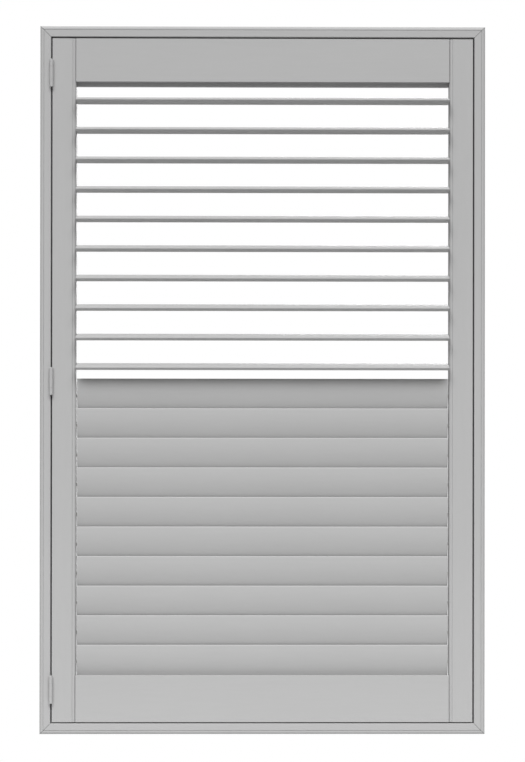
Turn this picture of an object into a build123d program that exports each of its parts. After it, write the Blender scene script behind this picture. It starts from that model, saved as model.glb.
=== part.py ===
from build123d import *
import math
import os

# One louvred shutter panel hung in a mitred frame. Millimetres.
# X runs right, Y runs away from the viewer and Z runs up.
# The origin is the middle of the frame's back, which lies on the wall.

# The panel
panel_width = 902.0
panel_height = 1465.0
panel_thickness = 28.0
stile_width = 50.8
rail_top_height = 92.5
rail_bottom_least = 80.0
tenon_length = 30.0
tenon_thickness = 9.0
tenon_shoulder = 14.0
joint_clearance = 0.1

# The bead along each stile's inner edges, with its sunk line
bead_width = 6.2
bead_drop = 0.9
quirk_width = 1.3
quirk_depth = 1.3
arris = 1.0

# The frame around it
side_gap = 3.0
top_gap = 3.5
bottom_gap = 2.8
frame_face = 23.3
frame_bead = 7.4
frame_bead_drop = 4.2
stop_width = 12.0
stop_thickness = 14.5
stop_gap = 1.5

# The louvres, in two banks that tilt apart from each other
louvre_width = 76.2
louvre_thickness = 14.2
louvre_nose_radius = 2.5
louvre_pitch = 63.5
louvre_end_gap = 2.0
tip_clearance = 1.1
upper_tilt = -4.0
closed_tilt = 82.5
lowest_tilt = -45.0

# The light stops worked into the rails, behind the highest louvre and before the lowest
lip_thickness = 12.2
top_lip_overlap = 6.2
bottom_lip_overlap = 10.8

# The pins and the gearing that turns each bank as one
pin_radius = 3.0
pin_clearance = 0.05
plain_pin_depth = 12.0
tang_length = 14.0
tang_width = 12.0
tang_thickness = 3.0
tang_clearance = 0.1
gear_module = 1.0
gear_teeth = 10
gear_sector_teeth = 6
gear_width = 9.0
gear_addendum = 0.8
gear_dedendum = 1.05
gear_tip_half = 0.38
gear_root_half = 0.93
rack_angle = 25.0
rack_backlash = 0.2
rack_teeth_below = 3
rack_teeth_above = 4
rack_backing = 3.0
rack_end = 14.0
rack_clearance = 0.2
channel_clearance = 0.6
channel_depth = 18.0
cover_thickness = 8.0
gear_end_clearance = 0.5
cover_clearance = 0.05

# The hinges
hinge_length = 58.0
hinge_from_top = 75.0
hinge_from_bottom = 70.0
hinge_end_knuckle = 15.0
knuckle_radius = 4.0
knuckle_gap = 0.3
knuckle_off_face = 0.1
leaf_thickness = 1.3
leaf_back_gap = 5.0
hinge_pin_radius = 1.6
hinge_pin_clearance = 0.05
hinge_pin_head = 1.4
screw_radius = 1.9
screw_head_radius = 3.2
screw_length = 16.0
screw_clearance = 0.1
screw_from_middle = 19.0

# What holds the frame to the wall and keeps its corners and the panel shut
fixing_radius = 2.3
fixing_head_radius = 4.6
fixing_spacing = 1200.0
key_length = 14.0
key_waist = 3.0
key_flare = 7.0
key_depth = 13.0
key_clearance = 0.1
magnet_width = 7.0
magnet_length = 32.0
magnet_depth = 8.0
magnet_gap = 0.3
strike_width = 8.0
strike_length = 42.0
strike_thickness = 1.0
catch_spacing = 900.0

# Pins, screws and their holes repeat so often that each is drawn with this many flats
small_sides = 8

# Worked-out places
frame_depth = stop_thickness + stop_gap + panel_thickness
frame_width = panel_width + 2 * (side_gap + frame_face)
frame_height = panel_height + top_gap + bottom_gap + 2 * frame_face
front_y = -frame_depth
back_y = front_y + panel_thickness
pivot_y = front_y + panel_thickness / 2
panel_bottom = -frame_height / 2 + frame_face + bottom_gap
panel_top = panel_bottom + panel_height
panel_edge = panel_width / 2
stile_inner = panel_edge - stile_width
louvre_length = 2 * (stile_inner - louvre_end_gap)
louvre_room = panel_height - rail_top_height - rail_bottom_least - tip_clearance + bottom_lip_overlap
louvre_count = 1 + math.floor((louvre_room - louvre_width) / louvre_pitch)
upper_bank = louvre_count // 2
first_pivot = panel_top - rail_top_height - louvre_width / 2 - tip_clearance
gear_pitch_radius = gear_module * gear_teeth / 2
gear_tooth_pitch = math.pi * gear_module
channel_floor = panel_edge - channel_depth
cover_inner = panel_edge - cover_thickness
channel_front = pivot_y - gear_pitch_radius - gear_addendum - channel_clearance
rack_back = pivot_y + gear_pitch_radius + gear_dedendum + rack_backing
channel_back = rack_back + rack_clearance
hinge_x = -panel_edge - side_gap / 2
hinge_y = front_y - knuckle_radius - knuckle_off_face
wall_end = frame_face + stop_width


def pivot_z(number):
    return first_pivot - (number - 1) * louvre_pitch


last_pivot = pivot_z(louvre_count)
rail_top_under = first_pivot + louvre_width / 2 + tip_clearance
rail_bottom_seat = last_pivot - louvre_width / 2 - tip_clearance
top_lip_end = first_pivot + louvre_width / 2 - top_lip_overlap
bottom_lip_end = last_pivot - louvre_width / 2 + bottom_lip_overlap


def block(x, y, z):
    """A box between two places on each axis."""
    size = (x[1] - x[0], y[1] - y[0], z[1] - z[0])
    middle = ((x[0] + x[1]) / 2, (y[0] + y[1]) / 2, (z[0] + z[1]) / 2)
    return Pos(*middle) * Box(*size)


def bar(start, axis, radius, length, hole=False):
    """A thin pin from a place along an axis, or the hole that it can turn in."""
    outline = RegularPolygon(radius, small_sides, major_radius=not hole)
    return extrude(Plane(origin=start, z_dir=axis) * outline, length)


def sink(start, axis, wide, narrow, length):
    """A countersink, or the screw's head that sits in it, from its wide end."""
    face = Plane(origin=start, z_dir=axis)
    outlines = [face * RegularPolygon(wide, small_sides)]
    outlines.append(face.offset(length) * RegularPolygon(narrow, small_sides))
    return loft(outlines)


def rod_z(radius, x, y, z):
    """A round bar along Z between two places."""
    return Pos(x, y, (z[0] + z[1]) / 2) * Cylinder(radius, z[1] - z[0])


def save(name, *solids):
    shape = solids[0] if len(solids) == 1 else Compound(list(solids))
    export_step(shape, f"parts/{name}.step")


# The frame

def frame_section():
    """The frame's section in its own plane: inward from the outer edge, and forward from the wall."""
    bead_radius = frame_bead
    crest = frame_depth
    line = Polyline(
        (0, crest - frame_bead_drop),
        (0, 0),
        (wall_end, 0),
        (wall_end, stop_thickness),
        (frame_face, stop_thickness),
        (frame_face, crest - arris),
        (frame_face - arris, crest),
        (bead_radius + quirk_width, crest),
        (bead_radius + quirk_width / 2, crest - quirk_depth),
        (bead_radius, crest - arris / 2),
    )
    crown = ThreePointArc(
        (bead_radius, crest - arris / 2),
        (bead_radius * 0.42, crest - arris / 2 - frame_bead_drop * 0.14),
        (0, crest - frame_bead_drop),
    )
    return make_face(line.edges() + crown.edges())


def frame_member(length):
    """A mitred length that lies along X with its outer edge down, its back at Y 0."""
    upright = Plane(origin=(-length / 2, 0, 0), x_dir=(0, 0, 1), z_dir=(1, 0, 0))
    bar = extrude(upright * frame_section(), length)
    cut = Polyline(
        (-length / 2, 0),
        (length / 2, 0),
        (length / 2 - frame_height / 4, frame_height / 4),
        (-length / 2 + frame_height / 4, frame_height / 4),
        close=True,
    )
    mitres = extrude(Plane.XZ * make_face(cut), frame_depth * 2, both=True)
    return bar & mitres


def corner_key(clearance):
    """A bow-tie key across one mitre, driven in from the wall side."""
    end = key_length / 2 + clearance
    waist = key_waist / 2 + clearance
    flare = key_flare / 2 + clearance
    outline = Polyline(
        (-end, -flare),
        (0, -waist),
        (end, -flare),
        (end, flare),
        (0, waist),
        (-end, flare),
        close=True,
    )
    return extrude(Plane.XZ * make_face(outline), key_depth + clearance)


def corner_places():
    """Where each key sits and how it is turned, square across its mitre."""
    inset = wall_end / 2
    x = frame_width / 2 - inset
    z = frame_height / 2 - inset
    return [
        Pos(-x, 0, -z) * Rot(Y=45),
        Pos(x, 0, -z) * Rot(Y=-45),
        Pos(x, 0, z) * Rot(Y=45),
        Pos(-x, 0, z) * Rot(Y=-45),
    ]


def corner_keys():
    return [place * corner_key(0) for place in corner_places()]


def fixing_x():
    return frame_width / 2 - frame_face - stop_width / 2


def fixing_hole(x, z):
    """A countersunk hole through the stop into the wall, hidden by the shut panel."""
    depth = fixing_head_radius - fixing_radius
    shank = Pos(x, -stop_thickness / 2, z) * Rot(X=90) * Cylinder(fixing_radius, stop_thickness * 2)
    head = sink((x, -stop_thickness, z), (0, 1, 0), fixing_head_radius, fixing_radius, depth)
    return shank + head


def catch_heights():
    return [-catch_spacing / 2, catch_spacing / 2]


def catch_x():
    return panel_edge - (stop_width - side_gap) / 2


def magnet(z, clearance):
    x = catch_x()
    half = magnet_width / 2 + clearance
    rise = magnet_length / 2 + clearance
    front = back_y + magnet_gap
    rear = -stop_thickness + magnet_depth + clearance
    return block((x - half, x + half), (front, rear), (z - rise, z + rise))


def strike(z, clearance):
    x = catch_x()
    half = strike_width / 2 + clearance
    rise = strike_length / 2 + clearance
    inner = back_y - strike_thickness - clearance
    return block((x - half, x + half), (inner, back_y), (z - rise, z + rise))


def frame_members():
    pockets = [place * corner_key(key_clearance) for place in corner_places()]
    bottom = Pos(0, 0, -frame_height / 2) * frame_member(frame_width)
    top = Rot(Y=180) * bottom
    left = Pos(-frame_width / 2, 0, 0) * Rot(Y=90) * frame_member(frame_height)
    right = Pos(frame_width / 2, 0, 0) * Rot(Y=-90) * frame_member(frame_height)
    left -= [fixing_hole(-fixing_x(), z) for z in fixing_heights()]
    right -= [fixing_hole(fixing_x(), z) for z in fixing_heights()]
    left -= [screw_pilot(z, -1) for z in hinge_screw_heights()]
    right -= [magnet(z, joint_clearance) for z in catch_heights()]
    members = {"frame_bottom": bottom, "frame_top": top, "frame_left": left, "frame_right": right}
    return {name: member - pockets for name, member in members.items()}


def fixing_heights():
    return [-fixing_spacing / 2, 0, fixing_spacing / 2]


# The hinges

def hinge_heights():
    return [
        panel_top - hinge_from_top,
        (panel_top - hinge_from_top + panel_bottom + hinge_from_bottom) / 2,
        panel_bottom + hinge_from_bottom,
    ]


def hinge_screw_heights():
    return [z + side * screw_from_middle for z in hinge_heights() for side in (-1, 1)]


def screw_y():
    """The middle of the flat part of a leaf."""
    return (hinge_y + knuckle_radius + knuckle_gap + leaf_rear()) / 2


def leaf_rear():
    return back_y - leaf_back_gap


def leaf_face(side):
    """Where a leaf lies on its wood: side -1 is the frame's, side 1 the panel's."""
    return hinge_x + side * side_gap / 2


def screw(z, side):
    """A countersunk screw whose head is flush with the leaf, pointing into its wood."""
    depth = screw_head_radius - screw_radius
    outer = leaf_face(side) - side * leaf_thickness
    head = sink((outer, screw_y(), z), (side, 0, 0), screw_head_radius, screw_radius, depth)
    start = outer + side * depth
    return head + bar((start, screw_y(), z), (side, 0, 0), screw_radius, screw_length - depth)


def screw_pilot(z, side):
    start = leaf_face(side) - side * leaf_thickness
    length = screw_length + screw_clearance
    return bar((start, screw_y(), z), (side, 0, 0), screw_radius + screw_clearance, length, hole=True)


def screw_seat(z, side):
    """The countersink that a leaf needs for its screw."""
    outer = leaf_face(side) - side * leaf_thickness
    reach = leaf_thickness + screw_clearance
    wide = screw_head_radius + screw_clearance
    return sink((outer, screw_y(), z), (side, 0, 0), wide, wide - reach, reach)


def knuckle_spans(z, side):
    """The panel's leaf has the middle knuckle and the frame's has the two ends."""
    low = z - hinge_length / 2
    high = z + hinge_length / 2
    if side > 0:
        return [(low + hinge_end_knuckle + knuckle_gap, high - hinge_end_knuckle - knuckle_gap)]
    return [(low, low + hinge_end_knuckle), (high - hinge_end_knuckle, high)]


def hinge_leaf(z, side):
    face = leaf_face(side)
    x = sorted((face, face - side * leaf_thickness))
    clear_of_knuckle = hinge_y + knuckle_radius + knuckle_gap
    leaf = block(x, (clear_of_knuckle, leaf_rear()), (z - hinge_length / 2, z + hinge_length / 2))
    for span in knuckle_spans(z, side):
        leaf += block(x, (hinge_y, clear_of_knuckle), span)
        leaf += rod_z(knuckle_radius, hinge_x, hinge_y, span)
    bore = hinge_pin_radius + hinge_pin_clearance
    foot = hinge_x, hinge_y, z - hinge_length / 2
    leaf -= bar(foot, (0, 0, 1), bore, hinge_length, hole=True)
    leaf -= [screw_seat(z + way * screw_from_middle, side) for way in (-1, 1)]
    return leaf


def hinge_pin(z):
    """A pin with a low tapered head on the top knuckle."""
    foot = hinge_x, hinge_y, z - hinge_length / 2
    shank = bar(foot, (0, 0, 1), hinge_pin_radius, hinge_length)
    top = hinge_x, hinge_y, z + hinge_length / 2
    wide = knuckle_radius - arris
    return shank + sink(top, (0, 0, 1), wide, wide - hinge_pin_head / 2, hinge_pin_head)


# The panel

def stile_section():
    """Half the stile's section, from its middle plane forward, with the bead upright at its inner edge."""
    face = panel_thickness / 2
    shoulder = stile_width - bead_width
    line = Polyline(
        (stile_width, face - bead_width),
        (stile_width, 0),
        (0, 0),
        (0, face - arris),
        (arris, face),
        (shoulder - quirk_width, face),
        (shoulder - quirk_width / 2, face - quirk_depth),
        (shoulder, face - bead_drop),
    )
    fall = bead_width - bead_drop
    radius = (bead_width**2 + fall**2) / (2 * bead_width)
    half_turn = math.atan2(fall, radius - bead_width) / 2
    crown = ThreePointArc(
        (shoulder, face - bead_drop),
        (
            stile_width - radius + radius * math.cos(half_turn),
            face - bead_width + radius * math.sin(half_turn),
        ),
        (stile_width, face - bead_width),
    )
    return make_face(line.edges() + crown.edges())


def stile(side):
    """A stile whose outer edge is on the given side, with its bead towards the louvres."""
    across = Plane(
        origin=(side * panel_edge, pivot_y, panel_bottom), x_dir=(-side, 0, 0), z_dir=(0, 0, 1)
    )
    half = extrude(across * stile_section(), panel_height)
    return half + mirror(half, Plane(origin=(0, pivot_y, 0), z_dir=(0, 1, 0)))


def tenon_spans():
    """The heights of each rail's tenons, inside the rail's solid height."""
    top = panel_top - tenon_shoulder, rail_top_under + tenon_shoulder
    bottom = rail_bottom_seat - tenon_shoulder, panel_bottom + tenon_shoulder
    return {"top": sorted(top), "bottom": sorted(bottom)}


def tenon(side, span, clearance):
    """A rail's tenon, or with a clearance its mortise."""
    half = tenon_thickness / 2 + clearance
    reach = sorted((side * stile_inner, side * (stile_inner + tenon_length + clearance)))
    return block(
        reach, (pivot_y - half, pivot_y + half), (span[0] - clearance, span[1] + clearance)
    )


def channel_span():
    """How far up and down the stile the gear channel runs, past both racks' travel."""
    spare = rack_end + 10.0
    return last_pivot - spare, first_pivot + spare


def pin_bore(number, side, depth):
    """The hole in a stile's inner edge that one louvre turns in."""
    mouth = side * stile_inner, pivot_y, pivot_z(number)
    return bar(mouth, (side, 0, 0), pin_radius + pin_clearance, depth, hole=True)


def left_stile():
    solid = stile(-1)
    solid -= [tenon(-1, span, joint_clearance) for span in tenon_spans().values()]
    solid -= [pin_bore(n, -1, plain_pin_depth + pin_clearance) for n in louvre_numbers()]
    solid -= [screw_pilot(z, 1) for z in hinge_screw_heights()]
    return solid


def right_stile():
    solid = stile(1)
    solid -= [tenon(1, span, joint_clearance) for span in tenon_spans().values()]
    solid -= block((channel_floor, panel_edge), (channel_front, channel_back), channel_span())
    solid -= [pin_bore(n, 1, channel_floor - stile_inner) for n in louvre_numbers()]
    solid -= [strike(z, joint_clearance) for z in catch_heights()]
    return solid


def channel_cover():
    """The strip that closes the gear channel, flush with the stile's edge."""
    low, high = channel_span()
    return block(
        (cover_inner, panel_edge),
        (channel_front + cover_clearance, channel_back - cover_clearance),
        (low + cover_clearance, high - cover_clearance),
    )


def rail(outline, name):
    """A rail drawn in the panel's thickness and height, with a tenon at each end."""
    section = Plane(origin=(-stile_inner, 0, 0), x_dir=(0, 1, 0), z_dir=(1, 0, 0))
    solid = extrude(section * make_face(Polyline(*outline, close=True)), 2 * stile_inner)
    for side in (-1, 1):
        solid += tenon(side, tenon_spans()[name], 0)
    return solid


def top_rail():
    """Its underside has a lip behind the highest louvre, which stops the light."""
    lip = back_y - lip_thickness
    outline = [
        (front_y, rail_top_under),
        (front_y, panel_top),
        (back_y, panel_top),
        (back_y, top_lip_end),
        (lip, top_lip_end),
        (lip, rail_top_under),
    ]
    return rail(outline, "top")


def bottom_rail():
    """Its front lip hides the lower edge of the lowest louvre, which shuts behind it."""
    lip = front_y + lip_thickness
    outline = [
        (front_y, panel_bottom),
        (front_y, bottom_lip_end),
        (lip, bottom_lip_end),
        (lip, rail_bottom_seat),
        (back_y, rail_bottom_seat),
        (back_y, panel_bottom),
    ]
    return rail(outline, "bottom")


# The louvres and what turns them

def louvre_numbers():
    return range(1, louvre_count + 1)


def rest_tilt(number):
    """Degrees that the front edge is up: the upper bank is open and the lower one shut."""
    return upper_tilt if number <= upper_bank else closed_tilt


def at_pivot(number):
    return Pos(0, pivot_y, pivot_z(number)) * Rot(X=-rest_tilt(number))


def louvre_section():
    """Two flat arcs joined by a round nose at each edge."""
    half = louvre_width / 2
    rise = louvre_thickness / 2
    nose = half - louvre_nose_radius
    radius = (nose**2 + rise**2 - louvre_nose_radius**2) / (2 * (rise - louvre_nose_radius))
    centre = radius - rise
    reach = radius / (radius - louvre_nose_radius)
    edge_y = nose * reach
    edge_z = centre * reach - centre
    over = ThreePointArc((-edge_y, edge_z), (0, rise), (edge_y, edge_z))
    back = ThreePointArc((edge_y, edge_z), (half, 0), (edge_y, -edge_z))
    under = ThreePointArc((edge_y, -edge_z), (0, -rise), (-edge_y, -edge_z))
    front = ThreePointArc((-edge_y, -edge_z), (-half, 0), (-edge_y, edge_z))
    return make_face(over.edges() + back.edges() + under.edges() + front.edges())


def tang(side, clearance):
    """The flat end of a pin in its louvre, or with a clearance its slot."""
    end = louvre_length / 2
    reach = sorted((side * end, side * (end - tang_length - clearance)))
    half = tang_width / 2 + clearance
    rise = tang_thickness / 2 + clearance
    return block(reach, (-half, half), (-rise, rise))


def louvre(number):
    section = Plane(origin=(-louvre_length / 2, 0, 0), x_dir=(0, 1, 0), z_dir=(1, 0, 0))
    blade = extrude(section * louvre_section(), louvre_length)
    blade -= [tang(side, tang_clearance) for side in (-1, 1)]
    return at_pivot(number) * blade


def polar(radius, angle, offset):
    """A point beside a line at an angle: some way along it and some way to its left."""
    along = math.sqrt(radius**2 - offset**2)
    return (
        along * math.cos(angle) - offset * math.sin(angle),
        along * math.sin(angle) + offset * math.cos(angle),
    )


def pinion():
    """A toothed sector on the pin's axis, level with the louvre at tilt 0."""
    tip = gear_pitch_radius + gear_addendum
    root = gear_pitch_radius - gear_dedendum
    step = 2 * math.pi / gear_teeth
    first = -(gear_sector_teeth - 2) // 2
    points = []
    for tooth in range(first, first + gear_sector_teeth):
        angle = tooth * step
        points.append(polar(root, angle, -gear_root_half))
        points.append(polar(tip, angle, -gear_tip_half))
        points.append(polar(tip, angle, gear_tip_half))
        points.append(polar(root, angle, gear_root_half))
    for missing in range(first + gear_sector_teeth, first + gear_teeth):
        points.append(polar(root, missing * step, 0))
    face = make_face(Polyline(*points, close=True))
    start = channel_floor + gear_end_clearance
    return extrude(Plane(origin=(start, 0, 0), x_dir=(0, 1, 0), z_dir=(1, 0, 0)) * face, gear_width)


def plain_pin(number):
    pin = tang(-1, 0)
    length = louvre_end_gap + plain_pin_depth
    pin += bar((-louvre_length / 2, 0, 0), (-1, 0, 0), pin_radius, length)
    return at_pivot(number) * pin


def gear_pin(number):
    pin = tang(1, 0)
    length = channel_floor + gear_end_clearance - louvre_length / 2
    pin += bar((louvre_length / 2, 0, 0), (1, 0, 0), pin_radius, length)
    pin += pinion()
    return at_pivot(number) * pin


def rack_profile(numbers):
    """A bar with teeth only where each pinion meets it, drawn as if the louvres lay level."""
    tip = gear_pitch_radius - gear_addendum
    root = gear_pitch_radius + gear_dedendum
    lean = math.tan(math.radians(rack_angle))
    half = gear_tooth_pitch / 4 - rack_backlash / 2
    tip_half = half - gear_addendum * lean
    root_half = half + gear_dedendum * lean
    points = []
    for number in reversed(numbers):
        pivot = pivot_z(number)
        for tooth in range(-rack_teeth_below, rack_teeth_above):
            z = pivot + (tooth + 0.5) * gear_tooth_pitch
            points.append((root, z - root_half))
            points.append((tip, z - tip_half))
            points.append((tip, z + tip_half))
            points.append((root, z + root_half))
    low = pivot_z(numbers[-1]) - rack_end
    high = pivot_z(numbers[0]) + rack_end
    ends = [(root, high), (root + rack_backing, high), (root + rack_backing, low), (root, low)]
    return Polyline(*points, *ends, close=True)


def rack(numbers):
    drop = gear_pitch_radius * math.radians(rest_tilt(numbers[0]))
    start = channel_floor + gear_end_clearance
    side = Plane(origin=(start, pivot_y, -drop), x_dir=(0, 1, 0), z_dir=(1, 0, 0))
    return extrude(side * make_face(rack_profile(numbers)), gear_width)


def main():
    os.makedirs("parts", exist_ok=True)
    for name, member in frame_members().items():
        save(name, member)
    save("corner_keys", *corner_keys())
    save("catch_magnets", *[magnet(z, 0) for z in catch_heights()])
    save("stile_left", left_stile())
    save("stile_right", right_stile())
    save("rail_top", top_rail())
    save("rail_bottom", bottom_rail())
    save("channel_cover", channel_cover())
    save("strike_plates", *[strike(z, 0) for z in catch_heights()])
    save("hinge_frame_leaves", *[hinge_leaf(z, -1) for z in hinge_heights()])
    save("hinge_panel_leaves", *[hinge_leaf(z, 1) for z in hinge_heights()])
    save("hinge_pins", *[hinge_pin(z) for z in hinge_heights()])
    save("hinge_screws_frame", *[screw(z, -1) for z in hinge_screw_heights()])
    save("hinge_screws_panel", *[screw(z, 1) for z in hinge_screw_heights()])
    numbers = list(louvre_numbers())
    save("rack_upper", rack(numbers[:upper_bank]))
    save("rack_lower", rack(numbers[upper_bank:]))
    for number in numbers:
        save(f"louvre_{number:02d}", louvre(number))
        save(f"louvre_pins_{number:02d}", plain_pin(number), gear_pin(number))


main()
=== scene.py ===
import math

import bpy
from mathutils import Matrix, Vector


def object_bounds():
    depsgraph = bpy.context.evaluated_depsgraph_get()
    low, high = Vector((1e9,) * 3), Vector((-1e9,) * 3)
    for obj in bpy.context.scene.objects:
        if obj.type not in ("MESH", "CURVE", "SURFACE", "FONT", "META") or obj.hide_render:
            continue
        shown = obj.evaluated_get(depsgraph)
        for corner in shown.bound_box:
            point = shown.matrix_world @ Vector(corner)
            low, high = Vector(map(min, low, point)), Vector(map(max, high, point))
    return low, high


# The looks of a painted louvred shutter. Metres; X right, Y into the wall, Z up.

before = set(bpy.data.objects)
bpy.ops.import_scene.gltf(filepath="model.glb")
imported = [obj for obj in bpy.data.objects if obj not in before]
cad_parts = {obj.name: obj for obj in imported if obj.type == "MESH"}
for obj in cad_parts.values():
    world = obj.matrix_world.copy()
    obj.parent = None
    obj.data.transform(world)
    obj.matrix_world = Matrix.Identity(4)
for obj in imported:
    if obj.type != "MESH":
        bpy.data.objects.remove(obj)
cad_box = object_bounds()

# The camera, fitted to the photograph's 525 x 762 frame. The turn is pitch, roll and yaw in degrees.
IMAGE_LONG_SIDE = 762
FOCAL_PIXELS = 1700.0
SENSOR = 36.0
CAMERA_PLACE = (0.004, -3.6883, -0.0089)
CAMERA_SHIFT = -0.01849
CAMERA_TURN = (0.1142, -0.0678, -0.4096)
CLIP_END = 50.0

# The finishes, as linear colours
PAINT = (0.462, 0.462, 0.462)
# The louvres get the same grey paint made a little darker: painted shade for the louvres
LOUVRE_SHADED_PAINT = (0.445, 0.445, 0.445)
NYLON = (0.62, 0.61, 0.58)
ZINC = (0.56, 0.57, 0.59)
MAGNET = (0.045, 0.045, 0.05)
KEY = (0.06, 0.06, 0.065)
FLOOR = (0.86, 0.86, 0.86)

# How the noises run: stretched along the grain, and how many waves to a metre
GRAIN_STRETCH = {"x": (0.08, 1, 1), "z": (1, 1, 0.08), "any": (1, 1, 1)}
CLOUD_SCALE = 3.5
FIBRE_SCALE = 190.0
PEEL_SCALE = 520.0
FLOOR_CLOUD_SCALE = 1.5
NOISE_LOW, NOISE_HIGH = 0.3, 0.7

# The paint film: how far its shade strays, its relief, its softly rounded edges and its gloss
CLOUD_SPREAD = 0.008
FIBRE_SHARE = 0.6
PAINT_BUMP = (0.18, 0.0002)
EDGE_RADIUS = 0.0007
EDGE_SAMPLES = 4
PAINT_SPECULAR = 0.06
PART_BUMP = (0.2, 0.0001)

# The frame's mitres: where |Z| exceeds |X| by this much, half the width of the joint, and the colour factor
# in it: partly the joint's own dark line, partly painted shade of the open hairline joint
MITRE_OFFSET = 0.28165
MITRE_HALF_WIDTH = 0.0006
MITRE_PAINTED_SHADE = 0.3

# The floor: how far below the frame it lies, and its side
FLOOR_DROP = 0.9
FLOOR_SIDE = 3.4

# The suns: name, elevation and azimuth from the front in degrees, softness in degrees, strength
SUNS = [
    ("key_right", 50, 25, 26, 1.6),
    ("key_left", 50, -25, 26, 1.6),
    ("back", 10, 165, 30, 1.1),
]
SUN_DISTANCE = 4

# The light from a table in front: its place, what it faces, its size and its watts
TABLE_PLACE = (0, -0.55, -1.15)
TABLE_FACING = (0, 0.35, 1)
TABLE_SIZE = (1.5, 0.9)
TABLE_WATTS = 0.4

# The light from all round: its mean level, how it grows with direction, and its least level
WORLD_LEVEL = 0.2
WORLD_SLOPE = (0.0, -0.2, 0.16)
WORLD_LEAST = 0.02


def new_material(name):
    """An empty node material with its nodes, its links and its shader."""
    material = bpy.data.materials.new(name)
    material.use_nodes = True
    nodes = material.node_tree.nodes
    shader = nodes["Principled BSDF"]
    return material, nodes, material.node_tree.links, shader


def calculate(nodes, links, operation, *values):
    """A Math node on sockets and numbers; gives its result's socket."""
    node = nodes.new("ShaderNodeMath")
    node.operation = operation
    for place, value in zip(node.inputs, values):
        if isinstance(value, bpy.types.NodeSocket):
            links.new(value, place)
        else:
            place.default_value = value
    return node.outputs["Value"]


def noise(nodes, links, coords, scale, detail, stretch=GRAIN_STRETCH["any"]):
    """A noise over object coordinates, stretched along the grain."""
    mapping = nodes.new("ShaderNodeMapping")
    mapping.inputs["Scale"].default_value = stretch
    links.new(coords.outputs["Object"], mapping.inputs["Vector"])
    texture = nodes.new("ShaderNodeTexNoise")
    texture.inputs["Scale"].default_value = scale
    texture.inputs["Detail"].default_value = detail
    links.new(mapping.outputs["Vector"], texture.inputs["Vector"])
    return texture.outputs["Fac"]


def ramp(nodes, links, source, low, high):
    """Spreads a noise, or a test's nought or one, from a low to a high value."""
    spread = nodes.new("ShaderNodeMapRange")
    spread.inputs["From Min"].default_value = NOISE_LOW
    spread.inputs["From Max"].default_value = NOISE_HIGH
    spread.inputs["To Min"].default_value = low
    spread.inputs["To Max"].default_value = high
    links.new(source, spread.inputs["Value"])
    return spread.outputs["Result"]


def tint(nodes, links, shader, colour, factor):
    """Gives the shader a colour times a factor."""
    scaled = nodes.new("ShaderNodeVectorMath")
    scaled.operation = "SCALE"
    scaled.inputs[0].default_value = colour
    links.new(factor, scaled.inputs["Scale"])
    links.new(scaled.outputs["Vector"], shader.inputs["Base Color"])


def relief(nodes, links, shader, height, strength, distance):
    """Gives the shader a bump from a height; gives the bump node."""
    bump = nodes.new("ShaderNodeBump")
    bump.inputs["Strength"].default_value = strength
    bump.inputs["Distance"].default_value = distance
    links.new(height, bump.inputs["Height"])
    links.new(bump.outputs["Normal"], shader.inputs["Normal"])
    return bump


def mitre_painted_shade(nodes, links, coords):
    """A factor of one that falls in the fine open joint along the diagonals between the frame's members:
    partly the joint's own dark line, partly painted shade in the joint.
    """
    apart = nodes.new("ShaderNodeSeparateXYZ")
    links.new(coords.outputs["Object"], apart.inputs["Vector"])
    across = calculate(nodes, links, "ABSOLUTE", apart.outputs["X"])
    up = calculate(nodes, links, "ABSOLUTE", apart.outputs["Z"])
    excess = calculate(nodes, links, "SUBTRACT", up, across)
    in_joint = calculate(nodes, links, "COMPARE", excess, MITRE_OFFSET, MITRE_HALF_WIDTH)
    return ramp(nodes, links, in_joint, 1.0, MITRE_PAINTED_SHADE)


def satin_paint(name, along, colour=PAINT, roughness=0.45, grain=0.008, paint_mitre_shade=False):
    """Sprayed satin paint on timber: a fine orange peel, faint grain along the piece, soft edges, and on
    the frame painted shade along the mitre joints.
    """
    material, nodes, links, shader = new_material(name)
    coords = nodes.new("ShaderNodeTexCoord")
    cloud = noise(nodes, links, coords, CLOUD_SCALE, 2.0)
    fibres = noise(nodes, links, coords, FIBRE_SCALE, 4.0, GRAIN_STRETCH[along])
    peel = noise(nodes, links, coords, PEEL_SCALE, 2.0)

    shade = ramp(nodes, links, cloud, 1.0 - CLOUD_SPREAD, 1.0 + CLOUD_SPREAD)
    streak = ramp(nodes, links, fibres, 1.0 - grain, 1.0 + grain)
    factor = calculate(nodes, links, "MULTIPLY", shade, streak)
    # On the frame the colour is darkened along the mitres: painted shade in the joint, with the joint's own
    # dark line
    if paint_mitre_shade:
        factor = calculate(nodes, links, "MULTIPLY", factor, mitre_painted_shade(nodes, links, coords))
    tint(nodes, links, shader, colour, factor)

    rough = ramp(nodes, links, fibres, roughness - 0.05, roughness + 0.06)
    links.new(rough, shader.inputs["Roughness"])
    shader.inputs["Specular IOR Level"].default_value = PAINT_SPECULAR

    height = calculate(nodes, links, "MULTIPLY_ADD", fibres, FIBRE_SHARE, peel)
    edge = nodes.new("ShaderNodeBevel")
    edge.samples = EDGE_SAMPLES
    edge.inputs["Radius"].default_value = EDGE_RADIUS
    bump = relief(nodes, links, shader, height, *PAINT_BUMP)
    links.new(edge.outputs["Normal"], bump.inputs["Normal"])
    return material


def plain_part(name, colour, metallic, roughness, scale, spread=0.05):
    """A hidden metal or moulded part: a mottled colour and roughness with a light bump."""
    material, nodes, links, shader = new_material(name)
    coords = nodes.new("ShaderNodeTexCoord")
    mottle = noise(nodes, links, coords, scale, 3.0)
    tint(nodes, links, shader, colour, ramp(nodes, links, mottle, 1.0 - spread, 1.0 + spread))
    rough = ramp(nodes, links, mottle, roughness - 0.05, roughness + 0.05)
    links.new(rough, shader.inputs["Roughness"])
    relief(nodes, links, shader, mottle, *PART_BUMP)
    shader.inputs["Metallic"].default_value = metallic
    return material


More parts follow.
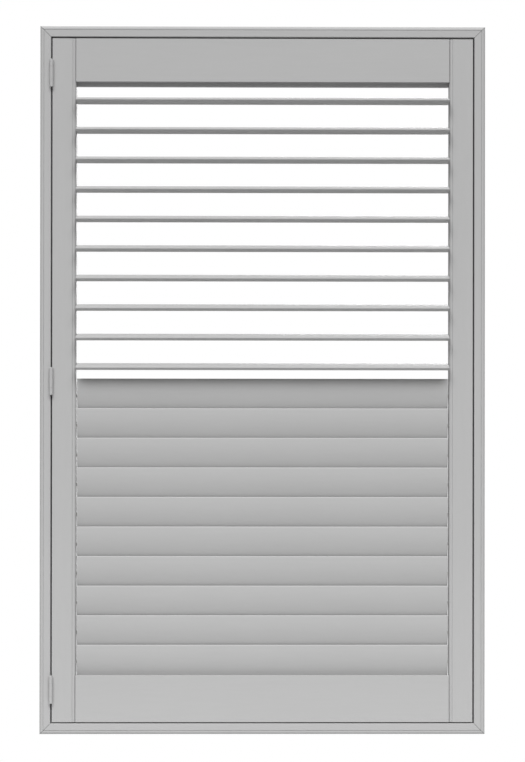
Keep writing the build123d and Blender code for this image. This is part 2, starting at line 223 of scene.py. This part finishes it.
def finishes():
    """The material of each CAD node that has one of its own, by name."""
    frame_upright = satin_paint("paint_frame_upright", "z", paint_mitre_shade=True)
    frame_level = satin_paint("paint_frame_level", "x", paint_mitre_shade=True)
    upright = satin_paint("paint_upright", "z")
    level = satin_paint("paint_level", "x")
    hinge = satin_paint("paint_hinge", "any", roughness=0.4, grain=0.005)
    nylon = plain_part("nylon", NYLON, 0.0, 0.45, 300.0)
    zinc = plain_part("zinc_plate", ZINC, 1.0, 0.32, 600.0, 0.12)
    return {
        "frame_left": frame_upright,
        "frame_right": frame_upright,
        "frame_top": frame_level,
        "frame_bottom": frame_level,
        "stile_left": upright,
        "stile_right": upright,
        "channel_cover": upright,
        "rail_top": level,
        "rail_bottom": level,
        "corner_keys": plain_part("key_plastic", KEY, 0.0, 0.5, 400.0, 0.1),
        "catch_magnets": plain_part("magnet", MAGNET, 0.0, 0.7, 500.0, 0.2),
        "strike_plates": zinc,
        "hinge_screws_frame": zinc,
        "hinge_screws_panel": zinc,
        "hinge_frame_leaves": hinge,
        "hinge_panel_leaves": hinge,
        "hinge_pins": hinge,
        "rack_upper": nylon,
        "rack_lower": nylon,
        "louvre_pins": nylon,
        "louvre": satin_paint("paint_louvre_shaded", "x", colour=LOUVRE_SHADED_PAINT),
    }


def dress():
    """Gives every CAD node its finish; louvres and their pins are looked up without their number."""
    materials = finishes()
    for name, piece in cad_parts.items():
        piece.data.materials.clear()
        piece.data.materials.append(materials[name.rstrip("_0123456789")])


def add_camera():
    """The camera that took the photograph."""
    data = bpy.data.cameras.new("camera")
    data.sensor_width = SENSOR
    data.lens = FOCAL_PIXELS / IMAGE_LONG_SIDE * SENSOR
    data.shift_x = CAMERA_SHIFT
    data.clip_end = CLIP_END
    camera = bpy.data.objects.new("camera", data)
    bpy.context.scene.collection.objects.link(camera)
    pitch, roll, yaw = (math.radians(a) for a in CAMERA_TURN)
    turn = Matrix.Rotation(yaw, 3, "Z") @ Matrix.Rotation(pitch, 3, "X") @ Matrix.Rotation(roll, 3, "Y")
    look = turn @ Matrix.Rotation(math.radians(90), 3, "X")
    camera.matrix_world = Matrix.Translation(CAMERA_PLACE) @ look.to_4x4()
    bpy.context.scene.camera = camera


def add_floor():
    """A pale floor well below the hung frame, out of the main view, which takes its shadow."""
    height = cad_box[0][2] - FLOOR_DROP
    half = FLOOR_SIDE / 2
    corners = [(-half, -half, height), (half, -half, height), (half, half, height), (-half, half, height)]
    mesh = bpy.data.meshes.new("floor")
    mesh.from_pydata(corners, [], [(0, 1, 2, 3)])
    floor = bpy.data.objects.new("floor", mesh)
    bpy.context.scene.collection.objects.link(floor)
    material, nodes, links, shader = new_material("floor_paint")
    coords = nodes.new("ShaderNodeTexCoord")
    cloud = noise(nodes, links, coords, FLOOR_CLOUD_SCALE, 2.0)
    tint(nodes, links, shader, FLOOR, ramp(nodes, links, cloud, 0.98, 1.02))
    shader.inputs["Roughness"].default_value = 0.9
    mesh.materials.append(material)


def add_sun(name, elevation, azimuth, softness, strength):
    """A far soft lamp, so that the top and the bottom of the frame are lit alike."""
    data = bpy.data.lights.new(name, "SUN")
    data.angle = math.radians(softness)
    data.energy = strength
    lamp = bpy.data.objects.new(name, data)
    up, round_z = math.radians(elevation), math.radians(azimuth)
    towards = Vector((math.sin(round_z) * math.cos(up), -math.cos(round_z) * math.cos(up), math.sin(up)))
    lamp.rotation_euler = towards.to_track_quat("Z", "Y").to_euler()
    lamp.location = towards * SUN_DISTANCE
    bpy.context.scene.collection.objects.link(lamp)


def add_table_light():
    """The light that a pale table in front throws up on the lowest pieces."""
    data = bpy.data.lights.new("table", "AREA")
    data.shape = "RECTANGLE"
    data.size, data.size_y = TABLE_SIZE
    data.energy = TABLE_WATTS
    lamp = bpy.data.objects.new("table", data)
    lamp.location = TABLE_PLACE
    lamp.rotation_euler = Vector(TABLE_FACING).to_track_quat("-Z", "Y").to_euler()
    bpy.context.scene.collection.objects.link(lamp)


def add_world():
    """Soft light from all round, most of it from the front and above; white where seen past the object."""
    world = bpy.data.worlds.new("studio")
    bpy.context.scene.world = world
    world.use_nodes = True
    nodes, links = world.node_tree.nodes, world.node_tree.links
    nodes.clear()
    coords = nodes.new("ShaderNodeTexCoord")
    lean = nodes.new("ShaderNodeVectorMath")
    lean.operation = "DOT_PRODUCT"
    lean.inputs[1].default_value = WORLD_SLOPE
    links.new(coords.outputs["Generated"], lean.inputs[0])
    soft = calculate(nodes, links, "ADD", lean.outputs["Value"], WORLD_LEVEL)
    lighting = calculate(nodes, links, "MAXIMUM", soft, WORLD_LEAST)

    ray = nodes.new("ShaderNodeLightPath").outputs
    direct = calculate(nodes, links, "MAXIMUM", ray["Is Camera Ray"], ray["Is Glossy Ray"])
    seen = calculate(nodes, links, "MAXIMUM", direct, ray["Is Transmission Ray"])
    level = nodes.new("ShaderNodeMix")
    level.data_type = "FLOAT"
    links.new(seen, level.inputs["Factor"])
    links.new(lighting, level.inputs["A"])
    level.inputs["B"].default_value = 1.0
    shine = nodes.new("ShaderNodeBackground")
    shine.inputs["Color"].default_value = (1, 1, 1, 1)
    links.new(level.outputs["Result"], shine.inputs["Strength"])
    out = nodes.new("ShaderNodeOutputWorld")
    links.new(shine.outputs["Background"], out.inputs["Surface"])


dress()
add_camera()
add_floor()
add_world()
for sun in SUNS:
    add_sun(*sun)
add_table_light()
bpy.context.scene.view_settings.view_transform = "Standard"
